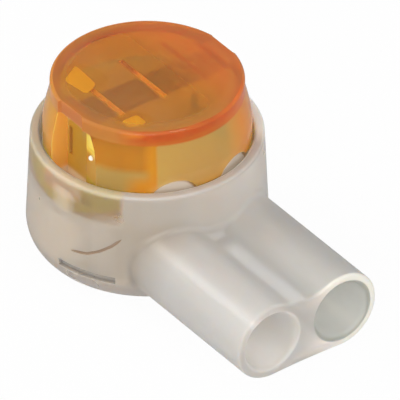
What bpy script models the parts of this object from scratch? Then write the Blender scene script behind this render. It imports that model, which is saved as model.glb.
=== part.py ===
"""Gel-filled wire connector: a two-wire butt connector with a press cap, shown open.

The barrel stands on its flat floor with its axis on Z. The snout with the two wire
ports points to -Y. The cap slides down the barrel until its top is flush with the rim.
"""

import math

import bmesh
import bpy
import numpy as np

MM = 0.001

# Wire that the connector takes, with its insulation
wire_radius = 1.04 * MM
wire_clearance = 0.06 * MM

# Housing: snout with two wire ports
bore_radius = 1.40 * MM
bore_mouth_radius = 1.53 * MM
bore_mouth_depth = 0.30 * MM
tube_wall = 0.50 * MM
tube_gap = 0.08 * MM
tube_edge_round = 0.12 * MM
upper_valley_radius = 3.00 * MM
lower_valley_radius = 40.00 * MM
snout_lift = 0.35 * MM
snout_length = 6.60 * MM
root_fillet = 0.55 * MM
fillet_side_share = 0.42
fillet_top_gain = 0.12
fillet_foot_share = 0.30

# Housing: barrel
barrel_height = 6.05 * MM
barrel_wall = 0.48 * MM
barrel_draft = 0.20 * MM
floor_thickness = 0.75 * MM
foot_round = 1.52 * MM
rim_round = 0.12 * MM
well_round = 0.40 * MM

# Housing: wire bed, end stop, retaining lugs and foot slots
bed_wall = 0.25 * MM
bed_clearance = 0.12 * MM
throat_length = 0.50 * MM
end_stop_place = 2.35 * MM
end_stop_thickness = 0.70 * MM
end_stop_rise = 1.00 * MM
lug_depth = 0.42 * MM
lug_ramp_height = 0.22 * MM
lug_clearance = 0.06 * MM
foot_slot_low = 1.28 * MM
foot_slot_high = 1.64 * MM
foot_slot_depth = 0.22 * MM
foot_slot_start = 7.0
foot_slot_end = 38.5

# Cap
cap_travel = 2.95 * MM
skirt_floor_gap = 0.50 * MM
skirt_arch_rise = 0.95 * MM
skirt_arch_half = 3.10 * MM
plate_thickness = 0.75 * MM
plate_inset = 0.34 * MM
plate_edge_height = 0.66 * MM
plate_round = 0.16 * MM
flare_height = 1.60 * MM
flare_power = 1.3
skirt_wall = 0.52 * MM
skirt_clearance = 0.08 * MM
key_width = 1.85 * MM
key_depth = 0.96 * MM
key_wall = 0.35 * MM
key_clearance = 0.09 * MM
key_bar_height = 0.58 * MM
plate_notch_depth = 0.20 * MM
window_margin = 0.35 * MM
window_below_rim = 0.12 * MM
panel_half_width = 2.21 * MM
panel_thickness = 0.95 * MM
arch_relief = 0.15 * MM
arch_inset = 0.32 * MM
arch_margin = 0.02 * MM
plate_rib_width = 0.24 * MM
plate_rib_height = 0.26 * MM
plate_rib_spacing = 2.35 * MM
plate_rib_front = 1.35 * MM
plate_rib_back = 2.05 * MM

# Contact
contact_shoulder = 1.44 * MM
contact_width = 1.90 * MM
strip_thickness = 0.36 * MM
strip_bend = 0.50 * MM
contact_clearance = 0.05 * MM
leg_floor_gap = 0.50 * MM
wire_slot_width = 0.38 * MM
wire_slot_height = 2.30 * MM
lead_in_width = 1.50 * MM
lead_in_height = 0.75 * MM
leg_corner_cut = 0.35 * MM
leg_slot_clearance = 0.09 * MM

# Gel
gel_clearance = 0.08 * MM

# How finely round forms are divided, and how far joined forms reach into each other
barrel_segments = 96
port_segments = 44
arc_steps = 8
lap = 0.20 * MM
past = 1.00 * MM

# Sizes that follow from the ones above
tube_radius = bore_radius + tube_wall
port_offset = tube_radius + tube_gap / 2
port_height = tube_radius + snout_lift
trough_radius = wire_radius + wire_clearance
contact_half = port_offset + contact_shoulder
key_inner_face = contact_half + contact_clearance
key_floor = key_inner_face + key_wall
skirt_radius = key_floor + key_depth
skirt_inner_radius = skirt_radius - skirt_wall
plate_radius = skirt_radius - plate_inset
well_radius = skirt_radius + skirt_clearance
rim_radius = well_radius + barrel_wall
foot_radius = rim_radius + barrel_draft
snout_reach = foot_radius + snout_length
cap_top = barrel_height + cap_travel
cap_bottom = floor_thickness + skirt_floor_gap + cap_travel
plate_underside = cap_top - plate_thickness
plate_edge_low = cap_top - plate_edge_height
contact_top = plate_underside - plate_rib_height - contact_clearance
leg_tip = floor_thickness + leg_floor_gap + cap_travel
leg_outer = contact_width / 2
leg_inner = leg_outer - strip_thickness
bed_half_width = port_offset + trough_radius + bed_wall
bed_radius = skirt_inner_radius - bed_clearance
end_stop_back = end_stop_place + end_stop_thickness
window_half_width = bed_half_width + window_margin
window_top = barrel_height - window_below_rim
arch_radius = trough_radius + arch_margin
arch_height = port_height + arch_relief + cap_travel
lug_bottom = cap_bottom + key_bar_height + lug_clearance
lug_top = plate_edge_low - cap_travel - key_clearance


def clear_scene():
    for obj in list(bpy.data.objects):
        bpy.data.objects.remove(obj, do_unlink=True)


def material_of(name, colour, roughness, transmission=0.0, metallic=0.0):
    material = bpy.data.materials.new(name)
    material.use_nodes = True
    shader = material.node_tree.nodes["Principled BSDF"]
    shader.inputs["Base Color"].default_value = (*colour, 1.0)
    shader.inputs["Roughness"].default_value = roughness
    shader.inputs["Transmission Weight"].default_value = transmission
    shader.inputs["Metallic"].default_value = metallic
    material.diffuse_color = (*colour, 1.0)
    return material


def object_from(name, points, faces):
    """A mesh object with its faces turned outwards."""
    mesh = bpy.data.meshes.new(name)
    mesh.from_pydata([tuple(point) for point in points], [], faces)
    form = bmesh.new()
    form.from_mesh(mesh)
    bmesh.ops.recalc_face_normals(form, faces=form.faces)
    form.to_mesh(mesh)
    form.free()
    obj = bpy.data.objects.new(name, mesh)
    bpy.context.scene.collection.objects.link(obj)
    return obj


def finish(obj, material):
    obj.data.materials.append(material)
    obj.data.shade_smooth()
    obj.data.set_sharp_from_angle(angle=math.radians(30))


def combine(obj, other, operation):
    """Joins another form to a piece, or cuts it away. That form is only a helper."""
    other.hide_render = True
    other.display_type = "WIRE"
    modifier = obj.modifiers.new(other.name, "BOOLEAN")
    modifier.operation = operation
    modifier.solver = "EXACT"
    modifier.object = other


def join(obj, *others):
    for other in others:
        combine(obj, other, "UNION")


def cut(obj, *others):
    for other in others:
        combine(obj, other, "DIFFERENCE")


def arc(centre, radius, start, end, steps=arc_steps):
    """Points on a circle, from one angle in degrees to another, both ends included."""
    turn = np.radians(np.linspace(start, end, steps + 1))
    return [(centre[0] + radius * math.cos(t), centre[1] + radius * math.sin(t)) for t in turn]


def lathe(name, profile, segments, place=(0, 0, 0), along_y=False):
    """Turns (radius, height) points that start and end on the axis into a closed solid."""
    turn = np.linspace(0, 2 * math.pi, segments, endpoint=False)
    rings = profile[1:-1]
    points = [(0, 0, profile[0][1]), (0, 0, profile[-1][1])]
    for radius, height in rings:
        points += [(radius * math.cos(t), radius * math.sin(t), height) for t in turn]
    faces = []
    first = len(points) - len(rings) * segments
    for i in range(segments):
        j = (i + 1) % segments
        for ring in range(len(rings) - 1):
            low = first + ring * segments
            high = low + segments
            faces.append((low + i, low + j, high + j, high + i))
        top = first + (len(rings) - 1) * segments
        faces.append((0, first + j, first + i))
        faces.append((1, top + i, top + j))
    points = np.array(points)
    if along_y:
        points = points[:, [0, 2, 1]]
    return object_from(name, points + np.array(place), faces)


def prism(name, outline, low, high, axis="Z"):
    """Carries a flat outline along an axis: (x, y) along Z, (x, z) along Y, (y, z) along X."""
    order = {"Z": (0, 1, 2), "Y": (0, 2, 1), "X": (2, 0, 1)}[axis]
    count = len(outline)
    rows = [(u, v, w) for w in (low, high) for u, v in outline]
    points = [tuple(row[i] for i in order) for row in rows]
    faces = [tuple(range(count)), tuple(range(count, 2 * count))]
    for i in range(count):
        j = (i + 1) % count
        faces.append((i, j, count + j, count + i))
    return object_from(name, points, faces)


def block(name, low, high):
    outline = [(low[0], low[1]), (high[0], low[1]), (high[0], high[1]), (low[0], high[1])]
    return prism(name, outline, low[2], high[2])


def mirrored(half):
    """An outline from its half at +X, which runs from the front to the back."""
    return half + [(-x, y) for x, y in reversed(half) if x > 0]


def across(radius, offset):
    """Half the chord of a circle at this distance from its centre."""
    return math.sqrt(radius**2 - offset**2)


def bearing(x, y):
    """Angle in degrees of a point, seen from the barrel's axis."""
    return math.degrees(math.atan2(y, x))


# Housing


def barrel_solid():
    """The outside of the barrel: a flat foot with a round edge, then a drafted wall."""
    profile = [(0, 0)]
    profile += arc((foot_radius - foot_round, foot_round), foot_round, -90, 0, 2 * arc_steps)
    profile += arc((rim_radius - rim_round, barrel_height - rim_round), rim_round, 0, 90, 3)
    profile.append((0, barrel_height))
    return lathe("housing", profile, barrel_segments)


def barrel_radius_at(height):
    """Outside radius of the barrel: the foot's round, then the drafted wall."""
    share = (height - foot_round) / (barrel_height - rim_round - foot_round)
    wall = foot_radius - barrel_draft * share
    depth = np.clip(foot_round - height, 0, foot_round)
    foot = foot_radius - foot_round + np.sqrt(foot_round**2 - depth**2)
    return np.where(height < foot_round, foot, wall)


def well_cutter():
    """The inside of the barrel, with a round at the floor and an eased rim."""
    profile = [(0, floor_thickness)]
    profile += arc((well_radius - well_round, floor_thickness + well_round), well_round, -90, 0, 4)
    profile.append((well_radius, barrel_height - rim_round))
    profile.append((well_radius + 2 * rim_round, barrel_height + rim_round))
    profile.append((0, barrel_height + rim_round))
    return lathe("well", profile, barrel_segments)


def valley(radius):
    """How far above the ports' axis a hollow arc has its centre, and where it touches a tube."""
    rise = math.sqrt((tube_radius + radius) ** 2 - port_offset**2)
    return rise, math.atan2(rise, -port_offset)


def snout_section():
    """Section of the two tubes: two circles joined by a hollow arc above and below.

    Each hollow arc touches both circles. The lower one is almost flat. A row is x,
    z above the port axis, and the outward direction.
    """
    rise, upper = valley(upper_valley_radius)
    drop, lower = valley(lower_valley_radius)
    right = [(math.cos(t), math.sin(t)) for t in np.linspace(-lower, upper, port_segments)]
    tube = [(port_offset + tube_radius * x, tube_radius * z, x, z) for x, z in right]
    rows = tube
    for t in np.linspace(upper - math.pi, -upper, arc_steps + 1)[1:-1]:
        x, z = math.cos(t), math.sin(t)
        rows.append((upper_valley_radius * x, rise + upper_valley_radius * z, -x, -z))
    rows += [(-x, z, -nx, nz) for x, z, nx, nz in reversed(tube[:port_segments])]
    for t in np.linspace(lower, math.pi - lower, arc_steps // 2 + 1)[1:-1]:
        x, z = math.cos(t), math.sin(t)
        rows.append((lower_valley_radius * x, -drop + lower_valley_radius * z, -x, -z))
    return np.array(rows)


def snout_solid():
    """The twin tube, carried from its end face into the barrel.

    Near the barrel the section swells along a quarter circle, which makes the root
    fillet. It fades towards the underside, where the foot of the barrel is round.
    """
    section = snout_section()
    outward = section[:, 2:]
    share = fillet_side_share + fillet_top_gain * outward[:, 1]
    fillet = root_fillet * np.clip(share, fillet_foot_share, 1.0)
    rings = []

    def swollen(swell):
        flat = section[:, :2] + outward * np.reshape(swell, (-1, 1))
        return flat[:, 0], flat[:, 1] + port_height

    for t in np.radians(np.linspace(0, 90, 4)):
        x, z = swollen(-tube_edge_round * (1 - math.sin(t)))
        y = np.full(len(x), tube_edge_round * (1 - math.cos(t)) - snout_reach)
        rings.append(np.stack([x, y, z], axis=1))
    for t in np.radians(np.linspace(0, 80, 6)):
        x, z = swollen(fillet * (1 - math.cos(t)))
        y = -np.sqrt(barrel_radius_at(z) ** 2 - x**2) - fillet * (1 - math.sin(t))
        rings.append(np.stack([x, y, z], axis=1))
    inner = rings[-1].copy()
    inner[:, 1] += barrel_wall + lap
    rings.append(inner)

    count = len(section)
    faces = [tuple(range(count)), tuple(range((len(rings) - 1) * count, len(rings) * count))]
    for ring in range(len(rings) - 1):
        for i in range(count):
            j = (i + 1) % count
            low, high = ring * count, (ring + 1) * count
            faces.append((low + i, low + j, high + j, high + i))
    return object_from("snout", np.concatenate(rings), faces)


def bore_cutter(name, side):
    """A wire port: a flared mouth, a straight bore, and a throat that narrows to the trough."""
    mouth = -snout_reach
    inside = -across(well_radius, port_offset)
    profile = [
        (0, mouth - past),
        (bore_mouth_radius, mouth - past),
        (bore_mouth_radius, mouth),
        (bore_radius, mouth + bore_mouth_depth),
        (bore_radius, inside),
        (trough_radius, inside + throat_length),
        (0, inside + throat_length),
    ]
    return lathe(name, profile, port_segments, (side * port_offset, 0, port_height), along_y=True)


def bed_outline(grow):
    """The wire bed from above: between the ports' wall and the end stop, clear of the skirt."""
    half = bed_half_width + grow
    wall = well_radius + barrel_wall / 2
    radius = bed_radius + grow
    back = end_stop_back + grow
    front = arc((0, 0), wall, -90, bearing(half, -across(wall, half)))
    start = bearing(half, across(radius, half))
    end = bearing(across(radius, back), back)
    rear = arc((0, 0), radius, start, end, 4)
    return mirrored(front + rear + [(0, back)])


def end_stop_outline(grow):
    """The rear end of the bed, which stops the wires."""
    half = bed_half_width + grow
    radius = bed_radius + grow
    face = end_stop_place - grow
    back = end_stop_back + grow
    corner = min(half, across(radius, face))
    start = bearing(corner, across(radius, corner))
    end = bearing(across(radius, back), back)
    return mirrored([(0, face), (corner, face)] + arc((0, 0), radius, start, end, 4) + [(0, back)])


def wire_bed(name, grow=0.0):
    """Two half-round troughs in line with the ports, crossed by slots for the contact's legs.

    Grown by a clearance, it is the space that the gel leaves free for it.
    """
    low = floor_thickness - lap
    bed = prism(name, bed_outline(grow), low, port_height + grow)
    reach = well_radius + past
    for side in (-1, 1):
        profile = [
            (0, -reach),
            (trough_radius - grow, -reach),
            (trough_radius - grow, end_stop_place - grow),
            (0, end_stop_place - grow),
        ]
        place = (side * port_offset, 0, port_height + grow)
        cut(bed, lathe(f"{name}_trough_{side}", profile, port_segments, place, along_y=True))
    span = contact_half + past
    inner = leg_inner - leg_slot_clearance + grow
    outer = leg_outer + leg_slot_clearance - grow
    for side in (-1, 1):
        near, far = sorted((side * inner, side * outer))
        slot = block(f"{name}_leg_slot_{side}", (-span, near, floor_thickness + grow), (span, far, cap_top))
        cut(bed, slot)
    stop = prism(f"{name}_stop", end_stop_outline(grow), low, port_height + end_stop_rise + grow)
    join(bed, stop)
    return bed


def retaining_lug(side):
    """A lug inside the barrel that runs in the cap's keyway and keeps the cap from lifting out."""
    tip = well_radius - lug_depth
    root = well_radius + barrel_wall / 2
    outline = [(root, lug_bottom), (tip, lug_bottom), (tip, lug_top - lug_ramp_height), (root, lug_top)]
    outline = [(side * x, z) for x, z in outline]
    half = key_width / 2 - key_clearance
    return prism(f"retaining_lug_{side}", outline, -half, half, axis="Y")


def foot_slot(side):
    """A shallow moulded slot low on the barrel, beside the snout."""
    inner = foot_radius - foot_slot_depth
    outer = foot_radius + past
    start, end = -foot_slot_start, -foot_slot_end
    outline = arc((0, 0), inner, start, end) + arc((0, 0), outer, end, start)
    outline = [(side * x, y) for x, y in outline]
    return prism(f"foot_slot_{side}", outline, foot_slot_low, foot_slot_high)


def make_housing():
    housing = barrel_solid()
    join(housing, snout_solid())
    cut(housing, well_cutter())
    join(housing, wire_bed("wire_bed"))
    join(housing, retaining_lug(-1), retaining_lug(1))
    cut(housing, bore_cutter("bore_left", -1), bore_cutter("bore_right", 1))
    cut(housing, foot_slot(-1), foot_slot(1))
    finish(housing, material_of("natural_polypropylene", (0.80, 0.77, 0.72), 0.35, 0.55))
    return housing


# Cap


def flare(low, high, start_radius, end_radius, steps):
    """A wall that stands upright at the bottom and leans in more and more towards the top."""
    points = []
    for rise in np.linspace(0, 1, steps + 1):
        lean = rise**flare_power
        points.append((start_radius + (end_radius - start_radius) * lean, low + (high - low) * rise))
    return points


def cap_solid():
    """The outside of the cap: a flat plate on a skirt that flares out below it.

    It reaches past the skirt's lower edge, which the arch then cuts.
    """
    flare_low = plate_edge_low - flare_height
    profile = [(0, cap_bottom - lap), (skirt_radius, cap_bottom - lap)]
    profile += flare(flare_low, plate_edge_low, skirt_radius, plate_radius, 7)
    profile += arc((plate_radius - plate_round, cap_top - plate_round), plate_round, 0, 90, 4)
    profile.append((0, cap_top))
    return lathe("button_cap", profile, barrel_segments)


def cavity_outline():
    """The inside of the skirt from above, with the keyway walls and the front panel."""
    radius = skirt_inner_radius
    key_half = key_width / 2 + key_wall
    panel = skirt_radius - panel_thickness
    front = [(0, -panel), (panel_half_width, -panel)]
    start = bearing(panel_half_width, -across(radius, panel_half_width))
    end = bearing(across(radius, key_half), -key_half)
    front_arc = arc((0, 0), radius, start, end)
    key = [(key_inner_face, -key_half), (key_inner_face, key_half)]
    rear_arc = arc((0, 0), radius, -end, 90, 2 * arc_steps)
    return mirrored(front + front_arc + key + rear_arc[:-1] + [(0, radius)])


def cavity_cutter():
    """The hollow of the cap. Its corners draw in under the plate, inside the flare."""
    cavity = prism("cavity", cavity_outline(), cap_bottom - past, plate_underside)
    flare_low = plate_edge_low - flare_height
    limit = [(0, cap_bottom - 2 * past), (skirt_radius, cap_bottom - 2 * past)]
    limit.append((skirt_radius, flare_low))
    limit += flare(flare_low, plate_underside + lap, skirt_inner_radius, plate_radius - skirt_wall, 5)
    limit.append((0, plate_underside + lap))
    combine(cavity, lathe("cavity_limit", limit, barrel_segments), "INTERSECT")
    return cavity


def keyway(side):
    """A recess up the skirt, with a flat on the plate's edge above it.

    A bar closes it at the bottom, and the lug catches that bar.
    """
    bar_top = cap_bottom + key_bar_height
    flat = plate_radius - plate_notch_depth
    outer = skirt_radius + past
    outline = [(key_floor, bar_top), (outer, bar_top), (outer, cap_top + past), (flat, cap_top + past)]
    outline += [(flat, plate_edge_low), (key_floor, plate_edge_low)]
    outline = [(side * x, z) for x, z in outline]
    return prism(f"keyway_{side}", outline, -key_width / 2, key_width / 2, axis="Y")


def skirt_arch():
    """Cuts the skirt's lower edge to an arc, so that it reaches lowest at the keyways."""
    half, rise = skirt_arch_half, skirt_arch_rise
    radius = (half**2 + rise**2) / (2 * rise)
    end = math.degrees(math.asin(half / radius))
    curve = arc((0, cap_bottom + radius), radius, -90 - end, -90 + end, 2 * arc_steps)
    reach = skirt_radius + past
    outline = [(-reach, cap_bottom + rise)] + curve + [(reach, cap_bottom + rise)]
    outline += [(reach, cap_bottom - past), (-reach, cap_bottom - past)]
    return prism("skirt_arch", outline, -reach, reach, axis="X")


def window_cutter():
    """Opens the skirt below the rim on the snout's side, where the wires come in."""
    front = -skirt_radius - past
    back = -leg_outer - strip_thickness
    half = window_half_width
    return block("window", (-half, front, cap_bottom - past), (half, back, window_top))


def arch_cutter(side):
    """A notch over a wire, which clears it when the cap is down."""
    profile = [
        (0, -skirt_radius - past),
        (arch_radius, -skirt_radius - past),
        (arch_radius, -leg_outer - strip_thickness),
        (0, -leg_outer - strip_thickness),
    ]
    place = (side * (port_offset - arch_inset), 0, arch_height)
    return lathe(f"arch_{side}", profile, port_segments, place, along_y=True)


def plate_rib(number):
    """A rib under the plate that bears on the contact."""
    centre = (number - 1) * plate_rib_spacing
    half = plate_rib_width / 2
    low = (centre - half, -plate_rib_front, plate_underside - plate_rib_height)
    high = (centre + half, plate_rib_back, plate_underside + lap)
    return block(f"plate_rib_{number}", low, high)


def make_cap():
    cap = cap_solid()
    cut(cap, cavity_cutter(), keyway(-1), keyway(1), skirt_arch())
    cut(cap, window_cutter(), arch_cutter(-1), arch_cutter(1))
    join(cap, *[plate_rib(number) for number in range(3)])
    finish(cap, material_of("amber_polycarbonate", (0.80, 0.28, 0.02), 0.12, 0.85))
    return cap


# Contact


def contact_profile():
    """The folded strip seen from its end: a web above two legs."""
    inside = strip_bend - strip_thickness
    centre = (leg_outer - strip_bend, contact_top - strip_bend)
    outer = [(leg_outer, leg_tip)] + arc(centre, strip_bend, 0, 90, 5)
    inner = arc(centre, inside, 90, 0, 5) + [(leg_inner, leg_tip)]
    left_outer = [(-y, z) for y, z in reversed(outer)]
    left_inner = [(-y, z) for y, z in reversed(inner)]
    return outer + left_outer + left_inner + inner


def wire_slot(side):
    """A slot that grips the conductor, with a V lead-in at the leg's tip."""
    half = wire_slot_width / 2
    lead = lead_in_width / 2
    bottom = leg_tip - past
    spread = lead + (lead - half) * past / lead_in_height
    top = arc((0, leg_tip + wire_slot_height - half), half, 0, 180, 6)
    outline = [(-half, leg_tip + lead_in_height), (-spread, bottom), (spread, bottom)]
    outline += [(half, leg_tip + lead_in_height)] + top
    outline = [(side * port_offset + x, z) for x, z in outline]
    return prism(f"wire_slot_{side}", outline, -contact_width, contact_width, axis="Y")


def corner_cutter(side):
    """Takes off the outer corner of both legs at the tip."""
    edge = side * contact_half
    size = leg_corner_cut
    outline = [(edge - side * size, leg_tip), (edge - side * size, leg_tip - past)]
    outline += [(edge + side * past, leg_tip - past), (edge + side * past, leg_tip + size + past)]
    outline += [(edge, leg_tip + size)]
    return prism(f"corner_{side}", outline, -contact_width, contact_width, axis="Y")


def make_contact():
    contact = prism("contact", contact_profile(), -contact_half, contact_half, axis="X")
    cut(contact, wire_slot(-1), wire_slot(1), corner_cutter(-1), corner_cutter(1))
    finish(contact, material_of("tinned_brass", (0.62, 0.60, 0.56), 0.35, metallic=1.0))
    return contact


# Gel


def make_gel():
    """Gel that fills the barrel up to just below the skirt and the contact, round the bed."""
    low = floor_thickness + gel_clearance
    top = min(cap_bottom, leg_tip) - gel_clearance
    radius = well_radius - gel_clearance
    profile = [(0, low), (radius - well_round, low)]
    profile += arc((radius - well_round, low + well_round), well_round, -90, 0, 4)[1:]
    profile += arc((radius - rim_round, top - rim_round), rim_round, 0, 90, 3)
    profile.append((0, top))
    gel = lathe("sealant_gel", profile, barrel_segments)
    cut(gel, wire_bed("bed_space", gel_clearance))
    finish(gel, material_of("sealing_gel", (0.85, 0.84, 0.76), 0.10, 0.90))
    return gel


clear_scene()
make_housing()
make_cap()
make_contact()
make_gel()
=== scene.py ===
"""Looks of the gel-filled wire connector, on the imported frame.

Natural polypropylene housing, amber polycarbonate cap, tinned contact and sealing gel.
Sizes are in metres, in the frame of the CAD model.
"""

import math

import bmesh
import bpy
import numpy as np
from mathutils import Matrix, Vector

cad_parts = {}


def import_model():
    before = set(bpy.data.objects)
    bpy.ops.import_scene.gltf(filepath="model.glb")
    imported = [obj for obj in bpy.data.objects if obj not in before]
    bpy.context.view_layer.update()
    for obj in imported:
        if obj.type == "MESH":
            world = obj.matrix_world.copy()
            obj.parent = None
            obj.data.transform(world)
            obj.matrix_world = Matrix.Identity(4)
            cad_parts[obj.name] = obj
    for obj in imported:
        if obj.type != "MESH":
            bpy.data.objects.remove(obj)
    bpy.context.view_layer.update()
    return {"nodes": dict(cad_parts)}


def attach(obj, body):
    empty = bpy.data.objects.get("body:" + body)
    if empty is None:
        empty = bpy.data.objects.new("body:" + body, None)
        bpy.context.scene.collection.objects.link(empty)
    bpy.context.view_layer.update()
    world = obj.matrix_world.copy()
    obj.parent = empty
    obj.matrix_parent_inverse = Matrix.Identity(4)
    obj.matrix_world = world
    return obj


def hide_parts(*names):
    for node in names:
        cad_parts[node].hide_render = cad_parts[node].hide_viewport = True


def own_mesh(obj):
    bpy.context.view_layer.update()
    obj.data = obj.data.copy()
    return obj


MM = 0.001
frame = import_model()

# Sizes of the CAD model in millimetres
barrel_height, rim_radius, foot_radius, foot_round = 6.05, 5.30, 5.50, 1.52
well_radius, floor_top, rim_round, well_round = 4.82, 0.75, 0.12, 0.40
bore_radius, mouth_radius, tube_radius, port_offset, port_height = 1.40, 1.53, 1.90, 1.94, 2.25
snout_reach, root_fillet, upper_valley, lower_valley = 12.10, 0.55, 3.0, 40.0
trough_radius, bed_half, bed_radius, stop_face, stop_back, stop_rise = 1.10, 3.29, 4.10, 2.35, 3.05, 1.00
cap_bottom, cap_top, plate_under, plate_edge_low, plate_radius = 4.20, 9.00, 8.25, 8.34, 4.40
skirt_radius, skirt_inner, flare_height, flare_power = 4.74, 4.22, 1.60, 1.3
key_inner, key_floor, key_half, key_bar = 3.43, 3.78, 0.925, 0.58
panel_half, panel_thickness, window_half, window_back, window_top = 2.21, 0.95, 3.64, 1.31, 5.93
arch_place, arch_radius, arch_height = 1.62, 1.12, 5.35
contact_half, contact_top, contact_width, strip_thickness, strip_bend = 3.38, 7.94, 1.90, 0.36, 0.50
leg_tip, slot_half, slot_height, lead_half, lead_height = 4.20, 0.19, 2.30, 0.75, 0.75
rib_half, rib_drop, rib_spacing, rib_front, rib_back = 0.12, 0.26, 2.35, -1.35, 2.05
barrel_turns = 192


# Shapes: arrays of points, put together as closed meshes


def mesh_of(name, points, faces, mark="skin"):
    """A helper object from points in millimetres, with its faces turned outwards.

    Its material only marks what kind of face it leaves, and the cuts pass that on.
    """
    mesh = bpy.data.meshes.new(name)
    mesh.from_pydata((np.asarray(points, float) * MM).tolist(), [], faces)
    form = bmesh.new()
    form.from_mesh(mesh)
    bmesh.ops.recalc_face_normals(form, faces=form.faces)
    form.to_mesh(mesh)
    form.free()
    mesh.materials.append(bpy.data.materials.get(mark) or bpy.data.materials.new(mark))
    obj = bpy.data.objects.new(name, mesh)
    bpy.context.scene.collection.objects.link(obj)
    return obj


def loft(name, rings, mark="skin"):
    """Rings of points, an array of ring by point by three, joined side by side and closed at both ends."""
    rings = np.asarray(rings, float)
    count, size = rings.shape[:2]
    low = np.arange(count - 1)[:, None] * size
    here = np.arange(size)[None, :]
    after = (here + 1) % size
    quads = np.stack([low + here, low + after, low + size + after, low + size + here], axis=-1)
    faces = quads.reshape(-1, 4).tolist()
    faces += [list(range(size)), list(range((count - 1) * size, count * size))]
    return mesh_of(name, rings.reshape(-1, 3), faces, mark)


def lathe(name, profile, turns, place=(0, 0, 0), along_y=False, mark="skin"):
    """Turns a profile of radius and height round Z, or round Y: x = r cos t, y = r sin t, z = h."""
    profile = np.asarray(profile, float)
    turn = np.linspace(0, 2 * math.pi, turns, endpoint=False)
    radius, height = profile[:, 0, None], profile[:, 1, None]
    rings = np.stack([radius * np.cos(turn), radius * np.sin(turn), height + 0 * turn], axis=-1)
    if along_y:
        rings = rings[..., [0, 2, 1]]
    return loft(name, rings + np.array(place), mark)


def prism(name, outline, low, high, axis="Z", mark="skin"):
    """Carries a flat outline along an axis: (x, y) along Z, (x, z) along Y, (y, z) along X."""
    order = {"Z": [0, 1, 2], "Y": [0, 2, 1], "X": [2, 0, 1]}[axis]
    outline = np.asarray(outline, float)
    ends = [np.column_stack([outline, np.full(len(outline), w)])[:, order] for w in (low, high)]
    return loft(name, ends, mark)


def arc(centre, radius, start, end, steps):
    """Points on a circle, from one angle in degrees to another."""
    turn = np.radians(np.linspace(start, end, steps + 1))
    return np.stack([centre[0] + radius * np.cos(turn), centre[1] + radius * np.sin(turn)], axis=1)


def rounded(outline, radii, steps=4):
    """An outline with each corner replaced by a curve that leaves it at that distance on both sides."""
    outline = np.asarray(outline, float)
    share = np.linspace(0, 1, steps + 1)[:, None]
    parts = []
    for corner, before, after, size in zip(outline, np.roll(outline, 1, 0), np.roll(outline, -1, 0), radii):
        if not size:
            parts.append(corner[None])
            continue
        start = corner + (before - corner) * (size / np.linalg.norm(before - corner))
        end = corner + (after - corner) * (size / np.linalg.norm(after - corner))
        parts.append((1 - share) ** 2 * start + 2 * share * (1 - share) * corner + share**2 * end)
    return np.concatenate(parts)


def mirrored(half):
    """An outline from its half at +X, which runs from the front to the back."""
    half = np.asarray(half, float)
    other = half[::-1][half[::-1, 0] > 0] * (-1, 1)
    return np.concatenate([half, other])


def across(radius, offset):
    """Half the chord of a circle at an offset from its centre."""
    return math.sqrt(radius**2 - offset**2)


def bearing(x, y):
    """Angle of a point in degrees, from +X towards +Y."""
    return math.degrees(math.atan2(y, x))


def carve(base, steps):
    """Joins helper forms to a base or cuts them away, in order, and returns the finished mesh."""
    for operation, other in steps:
        other.hide_render = True
        modifier = base.modifiers.new(other.name, "BOOLEAN")
        modifier.operation = operation
        modifier.solver = "EXACT"
        modifier.material_mode = "TRANSFER"
        modifier.object = other
    graph = bpy.context.evaluated_depsgraph_get()
    mesh = bpy.data.meshes.new_from_object(base.evaluated_get(graph), depsgraph=graph)
    for _, other in steps:
        bpy.data.objects.remove(other, do_unlink=True)
    bpy.data.objects.remove(base, do_unlink=True)
    return mesh


def ramp(value, start, end):
    """Rises from 0 to 1 as the value goes from start to end."""
    return np.clip((value - start) / (end - start), 0, 1)


class Surface:
    """The kind, place and look of every face corner of a mesh while it is being painted."""

    def __init__(self, mesh, faces):
        count = len(mesh.polygons)
        index, sizes, corners = np.zeros(count, int), np.zeros(count, int), np.zeros(len(mesh.loops), int)
        mesh.polygons.foreach_get("material_index", index)
        mesh.polygons.foreach_get("loop_total", sizes)
        mesh.loops.foreach_get("vertex_index", corners)
        points = np.zeros(len(mesh.vertices) * 3)
        mesh.vertices.foreach_get("co", points)
        names = [m.name if m and m.name in faces else next(iter(faces)) for m in mesh.materials]
        looks = np.array([[*faces[name][:2], *linear(faces[name][2])[:3]] for name in names])
        index = np.repeat(index, sizes)
        self.kind = np.array(names)[index]
        self.x, self.y, self.z = (points.reshape(-1, 3)[corners] / MM).T
        self.round = np.hypot(self.x, self.y)
        self.turn = np.degrees(np.arctan2(self.x, -self.y))
        self.wet, self.milk, self.tone = looks[index, 0], looks[index, 1], looks[index, 2:]

    def paint(self, where, milk, tone):
        """Moves the share of milk and its colour to new values, as far as where says."""
        where = np.asarray(where, float)
        self.milk = self.milk + where * (milk - self.milk)
        self.tone = self.tone + where[:, None] * (np.array(linear(tone)[:3]) - self.tone)


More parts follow.
